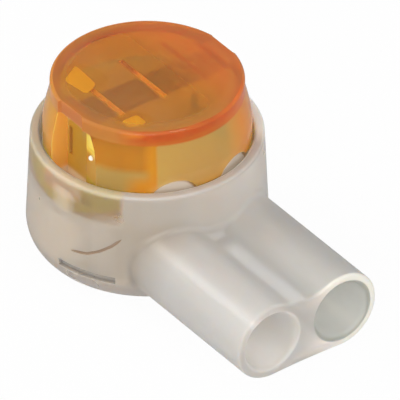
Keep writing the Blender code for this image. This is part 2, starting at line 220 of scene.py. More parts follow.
def make_piece(name, mesh, node_name, body, material, faces=None, paint=None, angle=32):
    """A finished mesh as a piece that stands for a node.

    faces gives each kind of face its wetness, its share of milk and the colour of the milk.
    paint changes them from place to place. They become attributes of the mesh.
    """
    if faces:
        surface = Surface(mesh, faces)
        if paint:
            paint(surface)
        for key, values in (("wet", surface.wet), ("milk", surface.milk)):
            mesh.attributes.new(key, "FLOAT", "CORNER").data.foreach_set("value", values.astype(np.float32))
        tone = np.column_stack([surface.tone, np.ones(len(surface.tone))]).astype(np.float32)
        mesh.attributes.new("tone", "FLOAT_COLOR", "CORNER").data.foreach_set("color", tone.ravel())
    mesh.polygons.foreach_set("material_index", np.zeros(len(mesh.polygons), np.int32))
    mesh.materials.clear()
    mesh.materials.append(material)
    mesh.shade_smooth()
    mesh.set_sharp_from_angle(angle=math.radians(angle))
    mesh.name = name
    piece = bpy.data.objects.new(name, mesh)
    bpy.context.scene.collection.objects.link(piece)
    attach(piece, body)
    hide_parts(node_name)
    return piece


# Housing


def barrel():
    """The outside of the barrel: a round foot, a drafted wall and an eased rim."""
    foot = arc((foot_radius - foot_round, foot_round), foot_round, -90, 0, 20)
    rim = arc((rim_radius - rim_round, barrel_height - rim_round), rim_round, 0, 90, 6)
    share = np.linspace(0, 1, 40)[1:-1, None]
    wall = foot[-1] * (1 - share) + rim[0] * share
    start, end = [(foot[0, 0] * 0.5, 0)], [(rim[-1, 0] * 0.5, barrel_height)]
    return lathe("barrel", np.concatenate([start, foot, wall, rim, end]), barrel_turns)


def barrel_radius_at(height):
    """Outside radius of the barrel at a height: the foot's round, then the drafted wall."""
    share = (height - foot_round) / (barrel_height - rim_round - foot_round)
    wall = foot_radius - (foot_radius - rim_radius) * share
    depth = np.clip(foot_round - height, 0, foot_round)
    foot = foot_radius - foot_round + np.sqrt(foot_round**2 - depth**2)
    return np.where(height < foot_round, foot, wall)


def valley(radius):
    """How far a hollow arc's centre lies from the plane of the tubes' axes, and its starting angle."""
    rise = math.sqrt((tube_radius + radius) ** 2 - port_offset**2)
    return rise, math.atan2(rise, -port_offset)


def snout_section(steps):
    """Two circles joined by a hollow arc above and below.

    Each row holds x and z on the curve, a radius from the centre of its arc, and the outward direction,
    which is along that radius on the tubes and against it in the valleys.
    """
    rise, upper = valley(upper_valley)
    glint, lower = valley(lower_valley)

    def curve(centre, radius, turn, outward):
        x, z = np.cos(turn), np.sin(turn)
        return np.stack([centre[0] + radius * x, centre[1] + radius * z, outward * x, outward * z], axis=1)

    tube = curve((port_offset, 0), tube_radius, np.linspace(-lower, upper, steps), 1)
    top = curve((0, rise), upper_valley, np.linspace(upper - math.pi, -upper, 17)[1:-1], -1)
    low = curve((0, -glint), lower_valley, np.linspace(lower, math.pi - lower, 9)[1:-1], -1)
    return np.concatenate([tube, top, tube[::-1] * (-1, 1, -1, 1), low])


def snout():
    """The twin tube from its end face into the barrel, swelling along a quarter circle at the root."""
    section = snout_section(72)
    outward = section[:, 2:]
    fillet = root_fillet * np.clip(0.42 + 0.12 * outward[:, 1], 0.30, 1.0)
    edge = 0.14
    rings = []

    def ring(swell, y_of):
        flat = section[:, :2] + outward * np.reshape(swell, (-1, 1))
        x, z = flat[:, 0], flat[:, 1] + port_height
        return np.stack([x, y_of(x, z) + 0 * x, z], axis=1)

    for t in np.radians(np.linspace(0, 90, 9)):
        rings.append(ring(-edge * (1 - math.sin(t)), lambda x, z: edge * (1 - math.cos(t)) - snout_reach))
    for y in np.linspace(-snout_reach + 0.6, -foot_radius - 1.0, 10):
        rings.append(ring(0.0, lambda x, z: y))
    for t in np.radians(np.linspace(0, 84, 13)):
        rings.append(
            ring(
                fillet * (1 - math.cos(t)),
                lambda x, z: -np.sqrt(barrel_radius_at(z) ** 2 - x**2) - fillet * (1 - math.sin(t)),
            )
        )
    inner = rings[-1].copy()
    inner[:, 1] += 0.6
    rings.append(inner)
    return loft("snout", rings)


def well():
    """The hollow of the barrel: a flat floor with a rounded corner, a straight wall and an eased edge."""
    profile = [(2.0, floor_top)]
    profile += arc((well_radius - well_round, floor_top + well_round), well_round, -90, 0, 8).tolist()
    profile += [(well_radius, barrel_height - rim_round)]
    profile += arc((well_radius + rim_round, barrel_height - rim_round), rim_round, 180, 90, 5)[1:].tolist()
    profile += [(well_radius + rim_round, barrel_height + 1), (2.0, barrel_height + 1)]
    return lathe("well", profile, barrel_turns, mark="wet")


def bore(side):
    """A wire port with a rounded mouth, a straight bore and a throat."""
    mouth = -snout_reach
    inside = -across(well_radius, port_offset)
    wide, lip, lip_depth = mouth_radius + 0.05, mouth_radius - bore_radius + 0.05, 0.30
    profile = [(0.5, mouth - 1), (wide, mouth - 1), (wide, mouth)]
    t = np.radians(np.linspace(0, 90, 7))
    profile += np.stack([wide - lip * np.sin(t), mouth + lip_depth * (1 - np.cos(t))], 1)[1:].tolist()
    profile += [(bore_radius, inside), (trough_radius, inside + 0.5), (0.5, inside + 0.5)]
    place = (side * port_offset, 0, port_height)
    return lathe(f"bore_{side}", profile, 96, place, along_y=True, mark="bore")


def bed():
    """The wire bed: two troughs crossed by the slots for the contact's legs, and an end stop."""
    wall = well_radius + 0.24
    start = bearing(bed_half, across(bed_radius, bed_half))
    end = bearing(across(bed_radius, stop_back), stop_back)
    front = arc((0, 0), wall, -90, bearing(bed_half, -across(wall, bed_half)), 10)
    rear = arc((0, 0), bed_radius, start, end, 8)
    outline = mirrored(np.concatenate([front, rear, [(0, stop_back)]]))
    low = floor_top - 0.2
    base = prism("bed", outline, low, port_height, mark="wet")
    steps = []
    for side in (-1, 1):
        profile = [(0.3, -6), (trough_radius, -6), (trough_radius, stop_face), (0.3, stop_face)]
        place = (side * port_offset, 0, port_height)
        steps.append(("DIFFERENCE", lathe(f"trough_{side}", profile, 96, place, along_y=True, mark="wet")))
    inner, outer = contact_width / 2 - strip_thickness - 0.09, contact_width / 2 + 0.09
    for side in (-1, 1):
        near, far = sorted((side * inner, side * outer))
        slot = [(-4.5, near), (4.5, near), (4.5, far), (-4.5, far)]
        steps.append(("DIFFERENCE", prism(f"slot_{side}", slot, floor_top, 9, mark="wet")))
    corner = min(bed_half, across(bed_radius, stop_face))
    start = bearing(corner, across(bed_radius, corner))
    face = [(0, stop_face), (corner, stop_face)]
    stop = mirrored(np.concatenate([face, arc((0, 0), bed_radius, start, end, 8), [(0, stop_back)]]))
    steps.append(("UNION", prism("stop", stop, low, port_height + stop_rise, mark="wet")))
    mesh = carve(base, steps)
    obj = bpy.data.objects.new("bed_form", mesh)
    bpy.context.scene.collection.objects.link(obj)
    return obj


def lug(side):
    """A retaining lug on the wall of the well, which the keyway's bar slides past."""
    tip, root = well_radius - 0.42, well_radius + 0.24
    low, ledge, high = 4.84, 5.08, 5.30
    outline = np.array([(root, low), (tip, low), (tip, ledge), (root, high)]) * (side, 1)
    half = key_half - 0.09
    return prism(f"lug_{side}", outline, -half, half, axis="Y", mark="wet")


def foot_slot(side):
    """A shallow slot round the outside of the foot."""
    inner, outer = foot_radius - 0.22, foot_radius + 1
    start, end, low, high = -7, -38.5, 1.28, 1.64
    outline = np.concatenate([arc((0, 0), inner, start, end, 16), arc((0, 0), outer, end, start, 16)])
    return prism(f"foot_slot_{side}", outline * (side, 1), low, high, mark="slot")


def weld_line():
    """The faint line on the left of the barrel: a groove as wide as a thin round strand.

    The strand's middle line runs through five points, given by turn and height, on the outer wall. Its
    radius rises from the ends as the square root of the way along.
    """
    share = np.linspace(0, 1, 40)
    angle = np.radians(np.interp(share * 4, range(5), (-75.5, -66.0, -59.5, -53.3, -48.6)))
    height = np.interp(share * 4, range(5), (2.42, 2.58, 2.90, 3.32, 3.76))
    radius = barrel_radius_at(height) - 0.02
    path = np.stack([radius * np.sin(angle), -radius * np.cos(angle), height], axis=1)
    along = np.gradient(path, axis=0)
    along /= np.linalg.norm(along, axis=1, keepdims=True)
    out = path * (1, 1, 0)
    out /= np.linalg.norm(out, axis=1, keepdims=True)
    across_path = np.cross(along, out)
    size = 0.075 * np.sqrt(np.clip(share * 8, 0.05, 1) * np.clip((1 - share) * 8, 0.05, 1))
    turn = np.linspace(0, 2 * math.pi, 12, endpoint=False)[None, :, None]
    round_path = np.cos(turn) * out[:, None] + np.sin(turn) * across_path[:, None]
    return loft("weld_line", path[:, None] + size[:, None, None] * round_path, mark="line")


def housing_mesh():
    """The housing: barrel and snout, hollowed out, with the bed, the lugs, the bores and the slots."""
    steps = [("UNION", snout()), ("DIFFERENCE", weld_line()), ("DIFFERENCE", well()), ("UNION", bed())]
    steps += [("UNION", lug(side)) for side in (-1, 1)]
    steps += [("DIFFERENCE", bore(side)) for side in (-1, 1)]
    steps += [("DIFFERENCE", foot_slot(side)) for side in (-1, 1)]
    return carve(barrel(), steps)


# Cap


def flare(low, high, start, end, steps):
    """Radius and height up a flare: the radius changes with a power of the height's share."""
    rise = np.linspace(0, 1, steps + 1)
    return np.stack([start + (end - start) * rise**flare_power, low + (high - low) * rise], axis=1)


def cap_body():
    """The outside of the cap: a flat plate on a skirt that flares out below it."""
    edge, flare_low, foot = 0.16, plate_edge_low - flare_height, cap_bottom - 0.2
    profile = np.concatenate(
        [
            [(2.0, foot)],
            [(skirt_radius, z) for z in np.linspace(foot, flare_low, 20)[:-1]],
            flare(flare_low, plate_edge_low, skirt_radius, plate_radius, 16),
            arc((plate_radius - edge, cap_top - edge), edge, 0, 90, 8),
            [(r, cap_top) for r in (4.1, 3.8, 3.5, 3.2, 2.9, 2.6, 2.3, 2.0, 1.5, 1.0, 0.5)],
        ]
    )
    return lathe("cap", profile, barrel_turns)


def cavity():
    """The hollow of the cap, with the walls behind the keyways and the thick front panel."""
    half = key_half + 0.35
    panel = skirt_radius - panel_thickness
    front = [(0, -panel), (panel_half, -panel)]
    start = bearing(panel_half, -across(skirt_inner, panel_half))
    end = bearing(across(skirt_inner, half), -half)
    outline = mirrored(
        np.concatenate(
            [
                front,
                arc((0, 0), skirt_inner, start, end, 16),
                [(key_inner, -half), (key_inner, half)],
                arc((0, 0), skirt_inner, -end, 90, 32)[:-1],
                [(0, skirt_inner)],
            ]
        )
    )
    hollow = prism("cavity", outline, cap_bottom - 1, plate_under, mark="wet")
    low = plate_edge_low - flare_height
    limit = np.concatenate(
        [
            [(1.0, cap_bottom - 2), (skirt_radius, cap_bottom - 2), (skirt_radius, low)],
            flare(low, plate_under + 0.2, skirt_inner + 0.004, plate_radius - 0.52, 12),
            [(1.0, plate_under + 0.2)],
        ]
    )
    mesh = carve(hollow, [("INTERSECT", lathe("limit", limit, barrel_turns, mark="wet"))])
    obj = bpy.data.objects.new("cavity_form", mesh)
    bpy.context.scene.collection.objects.link(obj)
    return obj


def keyway(side):
    """The recess up the skirt: square at the back, with a wide soft lead-in on the side of the ports."""
    edge, ease = 4.62, 0.16
    outline = [(6.0, -2.25), (4.36, -2.12), (4.22, -1.75), (4.16, -1.10), (4.08, -key_half)]
    outline += [(key_floor, -key_half), (key_floor, key_half - 0.08), (key_floor, key_half)]
    outline += [(edge, key_half)]
    outline += arc((edge, key_half + ease), ease, -90, 0, 6)[1:].tolist() + [(6.0, key_half + ease)]
    outline = np.array(outline) * (side, 1)
    levels = np.linspace(cap_bottom + key_bar, plate_edge_low, 25)
    rings = [np.column_stack([outline, np.full(len(outline), z)]) for z in levels]
    return loft(f"keyway_{side}", rings, mark="key")


def key_shade_slot(side):
    """The narrow upright slot in the back corner of the keyway, darker in colour: painted shade."""
    inner, outer, front, back, low, high = 3.60, 3.90, 0.52, 0.80, 5.9, 7.45
    outline = [(inner, front), (outer, front), (outer, back), (inner, back)]
    return prism(f"key_shade_slot_{side}", np.array(outline) * (side, 1), low, high, mark="shade_slot")


def glint_ball(side):
    """A small white ball on the lead-in of the keyway, a painted highlight: a ball open by two degrees at
    its poles.
    """
    radius, end = 0.13, 88
    ball = arc((0, 0), radius, -end, end, 12)
    return lathe(f"glint_ball_{side}", ball, 24, (side * 4.19, -1.48, 7.12), mark="glint")


def plate_flat(side):
    """The flat on the plate's edge above the keyway, with soft ends."""
    flat, half = plate_radius - 0.20, -key_half
    outline = [(flat, half + 0.15), (flat + 0.12, half - 0.02), (flat + 0.3, half - 0.18), (6.0, half - 0.3)]
    outline = np.concatenate([outline, np.array(outline[::-1]) * (1, -1)])
    outline = rounded(outline, [0.06, 0.06, 0.06, 0, 0, 0.06, 0.06, 0.06])
    return prism(f"plate_flat_{side}", outline * (side, 1), plate_edge_low - 0.1, 10, mark="flat")


def skirt_arch():
    """The skirt's lower edge, which rises in one wide arc from front to back."""
    half, rise = 3.10, 0.95
    radius = (half**2 + rise**2) / (2 * rise)
    end = math.degrees(math.asin(half / radius))
    curve = arc((0, cap_bottom + radius), radius, -90 - end, -90 + end, 32)
    outline = [(-6, cap_bottom + rise)] + curve.tolist() + [(6, cap_bottom + rise), (6, 3), (-6, 3)]
    return prism("skirt_arch", outline, -6, 6, axis="X", mark="wet")


def arch(side):
    """The round opening in the skirt over a wire."""
    profile = [(0.4, -6), (arch_radius, -6), (arch_radius, -window_back), (0.4, -window_back)]
    place = (side * arch_place, 0, arch_height)
    return lathe(f"arch_{side}", profile, 96, place, along_y=True, mark="arch")


def window():
    """The wide opening in the front of the skirt, below the panel."""
    half, back = window_half, -window_back
    return prism("window", [(-half, -6), (half, -6), (half, back), (-half, back)], 3, window_top, mark="wet")


def plate_rib(number):
    """A rib under the plate that bears on the contact."""
    left, right = (number - 1) * rib_spacing - rib_half, (number - 1) * rib_spacing + rib_half
    low, high = plate_under - rib_drop, plate_under + 0.2
    outline = rounded([(left, high), (left, low), (right, low), (right, high)], [0, 0.08, 0.08, 0])
    x, z = outline.T
    rings = [np.column_stack([x, np.full(len(x), y), z]) for y in np.linspace(rib_front, rib_back, 18)]
    return loft(f"plate_rib_{number}", rings, mark="rib")


def gate_ring():
    """The low ring under the plate, to the right of the middle.

    A small rectangle of radius and height, turned round an upright axis: x = 2.05 + r cos t and
    y = 0.10 + r sin t.
    """
    inner, outer, low, high = 0.36, 0.50, 8.16, plate_under + 0.1
    radius, height = np.array([(inner, high), (inner, low), (outer, low), (outer, high)]).T
    turn = np.linspace(0, 2 * math.pi, 49)[:-1, None]
    x, y = radius * np.cos(turn) + 2.05, radius * np.sin(turn) + 0.10
    rings = np.stack([x, y, height + 0 * turn], axis=-1)
    count, size = rings.shape[:2]
    here, after = np.arange(size), (np.arange(size) + 1) % size
    low, high = np.arange(count)[:, None] * size, (np.arange(count)[:, None] + 1) % count * size
    faces = np.stack([low + here, low + after, high + after, high + here], axis=-1).reshape(-1, 4).tolist()
    return mesh_of("gate_ring", rings.reshape(-1, 3), faces, "boss")


def light_patch(name, outline):
    """A very shallow pocket under the plate with a bright yellow, nearly opaque look: painted light for the
    lit inside seen through the plate.
    """
    corners = [0.25] * len(outline)
    return prism(name, rounded(outline, corners, 6), plate_under - 0.1, plate_under + 0.03, mark="film")


def paint_housing(s):
    """The wall over the gel is nearly clear; the front of the barrel, the rim and the snout are milkier.
    Painted shade darkens the wall left of the snout's root and the right bore; painted light brightens the
    left bore.
    """
    skin, wet, bore = s.kind == "skin", s.kind == "wet", s.kind == "bore"
    left = ramp(s.turn, -47.5, -49.5)
    right = (1 - left) * ramp(s.turn, 178, 120)
    # The wall: clear over the cap's skirt at the left, milky at the front and right
    s.paint(skin * left * ramp(s.z, 4.2, 4.6), 0.08, "#e6dfd6")
    s.paint(skin * right, 0.62, "#c6bfb6")
    s.paint(skin * ramp(s.turn, -20, 20) * ramp(s.turn, 178, 120), 0.60, "#f0ebe5")
    # A pale place over the lug, and painted shade on the wall left of the snout's root
    lug_place = ramp(s.turn, -90, -84) * ramp(s.turn, -73, -79)
    s.paint(skin * lug_place * ramp(s.z, 4.2, 4.5) * ramp(s.z, 5.6, 5.4), 0.45, "#efe2cc")
    s.paint(skin * ramp(s.turn, -66, -50) * ramp(s.turn, -15, -30) * ramp(s.z, 5.0, 4.2), 0.60, "#c2b7a9")
    # The rim, which is cream at the right
    rim = skin * ramp(s.z, 5.80, 5.92)
    s.paint(rim * left, 0.50, "#ecdfc6")
    s.paint(rim * (1 - left), 0.80, "#c8c2bc")
    cream = ramp(s.z, 5.5, 5.8) * ramp(s.turn, 42, 55) * ramp(s.turn, 130, 110)
    s.paint((skin + wet) * cream, 0.85, "#fffaf0")
    # The lower wall at the left, the foot, and the inside of the rim
    s.paint(skin * ramp(s.turn, -66, -76) * ramp(s.z, 4.2, 3.8) * ramp(s.turn, -175, -130), 0.32, "#f6e8d8")
    s.paint(skin * ramp(s.z, 1.7, 1.2) * (s.y > -5.4), 0.50, "#d8cec4")
    s.paint(wet * ramp(s.z, 5.4, 5.8) * (1 - left) * ramp(s.turn, 50, 42), 0.50, "#f2ecdf")
    # The snout, its end face, and its bores with painted shade and light
    snout_part = skin * ramp(s.y, -4.9, -6.2)
    end = snout_part * (s.y < -snout_reach + 0.1)
    s.paint(snout_part, 0.50, "#e0dedb")
    s.paint(snout_part * ramp(s.x, 0.2, 1.4), 0.50, "#e2e0de")
    s.paint(end, 0.50, "#dedad6")
    s.paint(end * ramp(s.x, 0.3, 1.2), 0.85, "#faf0e6")
    # Painted shade inside the right bore, which is grey, and painted light inside the left bore, which is
    # pale
    s.paint(bore * (s.x > 0), 0.50, "#bcbeb4")
    s.paint(bore * (s.x < 0), 0.60, "#e6e2de")


def paint_cap(s):
    """Where the skin carries gel or haze: behind the rim, on the panel and round the plate's edge. A painted
    highlight lies high on each keyway's lead-in.
    """
    skin, key, rib = s.kind == "skin", s.kind == "key", s.kind == "rib"
    edge_low, below = plate_edge_low - 0.02, ramp(s.z, 6.02, 5.88)
    skirt = skin * (s.z < edge_low) * (s.z > cap_bottom)
    left = skirt * ramp(s.turn, -30.3, -31.5) * (s.turn > -90)
    panel = skirt * ramp(s.turn, -31.5, -30.3) * (s.turn < 62)
    # The skirt left of the panel: orange, with a brighter strip at the panel and olive gel low down
    s.paint(left, 0.40, "#c8822e")
    s.paint(left * ramp(s.turn, -39, -34.5), 0.50, "#e6a028")
    s.paint(left * ramp(s.z, 7.25, 6.90) * ramp(s.turn, -33, -38), 0.60, "#b8a464")
    s.paint(left * ramp(s.turn, -50, -40) * ramp(s.z, 6.95, 6.40), 0.50, "#e69c28")
    # The panel, olive and then orange to the right, and the skirt beyond the keyway
    s.paint(panel, 0.60, "#ccb068")
    s.paint(panel * ramp(s.turn, 14, 32), 0.62, "#f2a040")
    s.paint(skirt * ramp(s.turn, -78, -84), 0.60, "#eaac3c")
    # The skirt behind the housing's wall
    s.paint(skirt * below, 0.85, "#b8a01c")
    s.paint(skirt * below * ramp(s.turn, -86, -96), 0.85, "#ccb43c")
    # The plate's edge: red-orange at the front, orange-brown at the sides and back
    edge = skin * (s.z > edge_low) * (s.z < cap_top - 0.001) * (s.round > 4.22)
    s.paint(edge, 0.50, "#d86430")
    s.paint(edge * ramp(s.turn, 5, 30), 0.58, "#f2803a")
    s.paint(edge * ramp(s.turn, -38, -56), 0.75, "#cc8a42")
    s.paint(edge * ramp(s.turn, 42, 60), 0.60, "#e0904a")
    s.paint(edge * ramp(s.turn, 110, 150), 0.75, "#cc8a42")
    s.paint(edge * ramp(s.y - 1.2 * np.abs(s.x), -4.4, -3.0) * (s.y > -1.5), 0.60, "#f0a848")
    # The plate's top: haze that spares the two patches of painted light, and a warmer ring near the edge
    top = skin * (s.z > cap_top - 0.001)
    haze = ramp(np.hypot(s.x + 2.66, s.y - 1.49), 1.0, 1.5)
    haze = haze * ramp(np.hypot(s.x + 2.56, s.y + 2.46), 0.6, 1.0)
    s.paint(top * ramp(s.x, 0.0, 2.6), 0.45, "#f4883a")
    s.paint(top * haze * ramp(s.x, 1.0, -1.5), 0.20, "#d8a060")
    s.paint(top * ramp(s.round, 3.5, 4.1), 0.65, "#c8883c")
    s.paint(top * ramp(s.round, 3.3, 3.9) * ramp(s.x, 0.5, 2.5), 0.55, "#e08840")
    # The keyway: its flat, back wall, lead-in with a painted highlight, ceiling, and the parts behind the
    # rim and on the bar
    s.paint((s.kind == "flat") * (s.x < 0), 0.80, "#cc8040")
    s.paint(key * (s.y > key_half - 0.01), 0.85, "#f2bc60")
    # Painted highlight: a bright yellow strip high on the lead-in
    s.paint(key * (s.y < -0.93) * ramp(s.z, 7.25, 7.4), 0.90, "#ffdc60")
    s.paint(key * (s.z > plate_edge_low - 0.03), 0.90, "#cc7434")
    s.paint(key * below * (np.abs(s.y) > 0.93), 0.85, "#ae9812")
    s.paint(key * ramp(s.z, 5.25, 5.05) * (np.abs(s.y) < 0.93), 0.70, "#efe2c8")
    # Under the plate
    s.paint((s.kind == "wet") * (s.z > plate_under - 0.4), 0.30, "#ecdfa9")
    s.paint(rib * (s.x < 1.0), 0.90, "#fff4e6")
    s.paint(rib * (s.x < 1.0) * ramp(s.y, 0.8, 1.1), 0.80, "#dcbc8c")


def cap_mesh():
    """The cap: hollowed out, with its keyways, flats, arches and ribs, a white ball on each lead-in as a
    painted highlight, and two bright pockets under the plate as painted light.
    """
    steps = [("DIFFERENCE", cavity())]
    steps += [("DIFFERENCE", keyway(side)) for side in (-1, 1)]
    # Narrow slots in the keyways' back corners, as painted shade
    steps += [("DIFFERENCE", key_shade_slot(side)) for side in (-1, 1)]
    steps += [("DIFFERENCE", plate_flat(side)) for side in (-1, 1)]
    steps += [("DIFFERENCE", skirt_arch()), ("DIFFERENCE", window())]
    steps += [("DIFFERENCE", arch(side)) for side in (-1, 1)]
    steps += [("UNION", plate_rib(number)) for number in range(3)]
    steps += [("UNION", gate_ring())]
    # White balls on the lead-ins, as painted highlights
    steps += [("UNION", glint_ball(side)) for side in (-1, 1)]
    # Two bright pockets under the plate: painted light for the lit inside seen through it
    back_light_patch = [(-2.75, 0.85), (-1.95, 1.2), (-1.85, 2.95), (-2.95, 2.3)]
    front_light_patch = [(-2.75, -2.35), (-1.85, -2.55), (-1.85, -1.75), (-2.75, -1.75)]
    steps += [("DIFFERENCE", light_patch("film_1", back_light_patch)), ("DIFFERENCE", light_patch("film_2", front_light_patch))]
    return carve(cap_body(), steps)


# Contact


def contact_mesh():
    """The folded strip: a web above two legs, with wire slots, a V lead-in and cut corners."""
    outer_half, inside = contact_width / 2, strip_bend - strip_thickness
    centre = (outer_half - strip_bend, contact_top - strip_bend)
    outer = np.concatenate([[(outer_half, leg_tip)], arc(centre, strip_bend, 0, 90, 10)])
    inner = np.concatenate([arc(centre, inside, 90, 0, 10), [(outer_half - strip_thickness, leg_tip)]])
    outline = np.concatenate([outer, outer[::-1] * (-1, 1), inner[::-1] * (-1, 1), inner])
    base = prism("contact", outline, -contact_half, contact_half, axis="X")
    steps = []
    for side in (-1, 1):
        top = arc((0, leg_tip + slot_height - slot_half), slot_half, 0, 180, 12)
        spread = lead_half + (lead_half - slot_half) / lead_height
        cut = np.concatenate(
            [
                [(-slot_half, leg_tip + lead_height), (-spread, leg_tip - 1)],
                [(spread, leg_tip - 1), (slot_half, leg_tip + lead_height)],
                top,
            ]
        )
        steps.append(("DIFFERENCE", prism(f"slot_{side}", cut + (side * port_offset, 0), -2, 2, axis="Y")))
        edge, size = contact_half, 0.35
        corner = np.array(
            [
                (edge - size, leg_tip),
                (edge - size, leg_tip - 1),
                (edge + 1, leg_tip - 1),
                (edge + 1, leg_tip + size + 1),
                (edge, leg_tip + size),
            ]
        )
        steps.append(("DIFFERENCE", prism(f"corner_{side}", corner * (side, 1), -2, 2, axis="Y")))
    return carve(base, steps)


# Colours and nodes


def linear(code):
    """Linear colour of an sRGB hex value."""
    parts = [int(code[i : i + 2], 16) / 255 for i in (1, 3, 5)]
    return [c / 12.92 if c <= 0.04045 else ((c + 0.055) / 1.055) ** 2.4 for c in parts] + [1.0]


def node(tree, kind, settings=None, inputs=None, links=None):
    """Adds a node, sets its fields and input values, and links its inputs to other nodes' outputs."""
    made = tree.nodes.new(kind)
    for key, value in (settings or {}).items():
        setattr(made, key, value)
    for key, value in (inputs or {}).items():
        made.inputs[key].default_value = value
    for key, source in (links or {}).items():
        tree.links.new(source, made.inputs[key])
    return made


def new_material(name):
    """A material with an empty node tree."""
    material = bpy.data.materials.new(name)
    material.use_nodes = True
    tree = material.node_tree
    tree.nodes.clear()
    return material, tree


def clear_plastic(tree, air, gel, clear, shine, shade, depth, rough, normal):
    """Clear plastic with some milk in it, where it meets the air and where the gel wets it.

    The mesh holds the share of milk and its colour. Milk lets light in and out again within depth. Rays to
    the lamps pass each face in the colour of shade, so that light reaches the inside. shine is the colour of
    what the faces mirror.
    """
    wet = node(tree, "ShaderNodeAttribute", {"attribute_name": "wet"}).outputs["Fac"]
    milk = node(tree, "ShaderNodeAttribute", {"attribute_name": "milk"}).outputs["Fac"]
    tone = node(tree, "ShaderNodeAttribute", {"attribute_name": "tone"}).outputs["Color"]
    links = {"Roughness": rough, "Normal": normal}
    sides = []
    for index in (air, gel):
        face = {"IOR": index, "Specular Tint": linear(shine)}
        glass = {**face, "Base Color": linear(clear), "Transmission Weight": 1.0}
        cloudy = {
            **face,
            "Subsurface Weight": 1.0,
            "Subsurface Radius": (1.0, 0.8, 0.6),
            "Subsurface Scale": depth,
        }
        body = node(tree, "ShaderNodeBsdfPrincipled", None, glass, links).outputs["BSDF"]
        cloud = node(tree, "ShaderNodeBsdfPrincipled", None, cloudy, {**links, "Base Color": tone})
        mix = node(tree, "ShaderNodeMixShader", links={"Fac": milk, 1: body, 2: cloud.outputs["BSDF"]})
        sides.append(mix.outputs["Shader"])
    both = node(tree, "ShaderNodeMixShader", links={"Fac": wet, 1: sides[0], 2: sides[1]})
    open_way = node(tree, "ShaderNodeBsdfTransparent", inputs={"Color": linear(shade)})
    to_lamp = node(tree, "ShaderNodeLightPath").outputs["Is Shadow Ray"]
    ways = {"Fac": to_lamp, 1: both.outputs["Shader"], 2: open_way.outputs["BSDF"]}
    return node(tree, "ShaderNodeMixShader", links=ways)


def natural_polypropylene():
    """Moulded natural polypropylene: milky, half see-through, with a satin mould finish."""
    material, tree = new_material("natural_polypropylene")
    place = node(tree, "ShaderNodeTexCoord").outputs["Object"]
    where = {"Vector": place}
    satin = node(tree, "ShaderNodeTexNoise", inputs={"Scale": 1600.0, "Detail": 3.0}, links=where)
    cloud = node(tree, "ShaderNodeTexNoise", inputs={"Scale": 260.0, "Detail": 2.0}, links=where)
    rough = node(
        tree,
        "ShaderNodeMapRange",
        inputs={"To Min": 0.24, "To Max": 0.34},
        links={"Value": cloud.outputs["Fac"]},
    )
    bump = node(
        tree,
        "ShaderNodeBump",
        inputs={"Strength": 0.04, "Distance": 0.02 * MM},
        links={"Height": satin.outputs["Fac"]},
    )
    skin = {"rough": rough.outputs["Result"], "normal": bump.outputs["Normal"]}
    both = clear_plastic(tree, 1.49, 1.06, "#fafaf8", "#ffffff", "#dcdad6", 0.5 * MM, **skin)
    node(tree, "ShaderNodeOutputMaterial", links={"Surface": both.outputs["Shader"]})
    return material


def amber_polycarbonate():
    """Moulded amber polycarbonate: clear and glossy, and deeper in colour where it is thicker."""
    material, tree = new_material("amber_polycarbonate")
    place = node(tree, "ShaderNodeTexCoord").outputs["Object"]
    flow = node(tree, "ShaderNodeTexNoise", inputs={"Scale": 420.0, "Detail": 2.0}, links={"Vector": place})
    rough = node(
        tree,
        "ShaderNodeMapRange",
        inputs={"To Min": 0.08, "To Max": 0.13},
        links={"Value": flow.outputs["Fac"]},
    )
    bump = node(
        tree,
        "ShaderNodeBump",
        inputs={"Strength": 0.08, "Distance": 0.02 * MM},
        links={"Height": flow.outputs["Fac"]},
    )
    skin = {"rough": rough.outputs["Result"], "normal": bump.outputs["Normal"]}
    both = clear_plastic(tree, 1.58, 1.12, "#fffaf0", "#cbc8c4", "#f2ece0", 0.4 * MM, **skin)
    tint = node(tree, "ShaderNodeVolumeAbsorption", inputs={"Color": linear("#fee900"), "Density": 2250.0})
    node(
        tree,
        "ShaderNodeOutputMaterial",
        links={"Surface": both.outputs["Shader"], "Volume": tint.outputs["Volume"]},
    )
    return material


def tinned_brass():
    """Stamped brass strip with a dull tin plate, drawn lengthways; gel clings to its legs."""
    material, tree = new_material("tinned_brass")
    place = node(tree, "ShaderNodeTexCoord").outputs["Object"]
    lengthways = {"Scale": (300.0, 6000.0, 6000.0)}
    drawn = node(tree, "ShaderNodeMapping", inputs=lengthways, links={"Vector": place})
    lines = node(
        tree,
        "ShaderNodeTexNoise",
        inputs={"Scale": 1.0, "Detail": 3.0},
        links={"Vector": drawn.outputs["Vector"]},
    )
    rough = node(
        tree,
        "ShaderNodeMapRange",
        inputs={"To Min": 0.24, "To Max": 0.42},
        links={"Value": lines.outputs["Fac"]},
    )
    metal = node(
        tree,
        "ShaderNodeBsdfPrincipled",
        inputs={"Base Color": linear("#80695e"), "Metallic": 1.0},
        links={"Roughness": rough.outputs["Result"]},
    )
    film = node(
        tree,
        "ShaderNodeBsdfPrincipled",
        inputs={"Base Color": linear("#e6d8b4"), "Roughness": 0.3, "IOR": 1.2},
    )
    height = node(tree, "ShaderNodeSeparateXYZ", links={"Vector": place}).outputs["Z"]
    share = node(
        tree,
        "ShaderNodeMapRange",
        inputs={"From Min": 7.50 * MM, "From Max": 7.72 * MM, "To Min": 0.75, "To Max": 0.0},
        links={"Value": height},
    )
    both = node(
        tree,
        "ShaderNodeMixShader",
        links={"Fac": share.outputs["Result"], 1: metal.outputs["BSDF"], 2: film.outputs["BSDF"]},
    )
    node(tree, "ShaderNodeOutputMaterial", links={"Surface": both.outputs["Shader"]})
    return material


